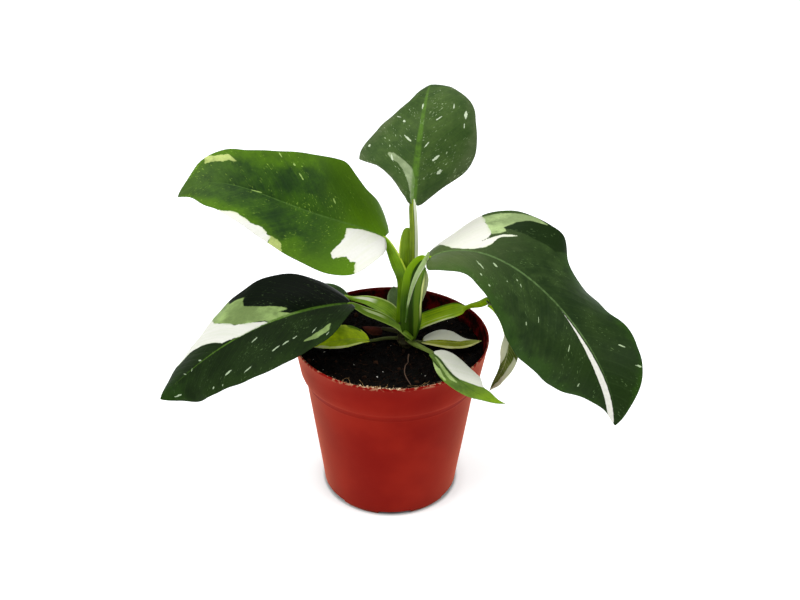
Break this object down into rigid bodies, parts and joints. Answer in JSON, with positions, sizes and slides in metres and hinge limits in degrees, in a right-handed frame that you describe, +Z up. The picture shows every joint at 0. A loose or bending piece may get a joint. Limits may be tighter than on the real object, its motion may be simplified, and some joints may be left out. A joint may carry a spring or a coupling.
{
  "type": "potted philodendron",
  "caption": "Young variegated houseplant with broad pointed green and white leaves on short stalks, in a tapered round nursery pot filled with soil.",
  "frame": {"origin": "centre of the pot's underside, on the floor", "axes": "+Z up; +X to the right of the plant's front view; +Y towards its back, away from the viewer"},
  "size_m": [0.2898, 0.1412, 0.252],
  "materials": {
    "pot_plastic": "satin",
    "soil": "matte",
    "stem": "satin",
    "leaf_top": "satin",
    "leaf_upper_left": "satin",
    "leaf_lower_left": "satin",
    "leaf_right": "satin",
    "leaf_back_left": "satin",
    "leaf_front_left": "satin",
    "leaf_far_right": "satin",
    "leaf_mid_right": "satin",
    "leaf_front": "satin",
    "leaf_behind": "satin",
    "young_sheath": "satin",
    "old_sheath": "matte"
  },
  "bodies": {
    "root": {"pot": "pot_plastic", "soil": "soil", "stem": "stem", "leaf_top": "leaf_top", "leaf_upper_left": "leaf_upper_left", "leaf_lower_left": "leaf_lower_left", "leaf_right": "leaf_right", "leaf_back_left": "leaf_back_left", "leaf_front_left": "leaf_front_left", "leaf_far_right": "leaf_far_right", "leaf_mid_right": "leaf_mid_right", "leaf_front": "leaf_front", "leaf_behind": "leaf_behind", "young_sheath": "young_sheath", "old_sheath": "old_sheath"}
  },
  "joints": []
}
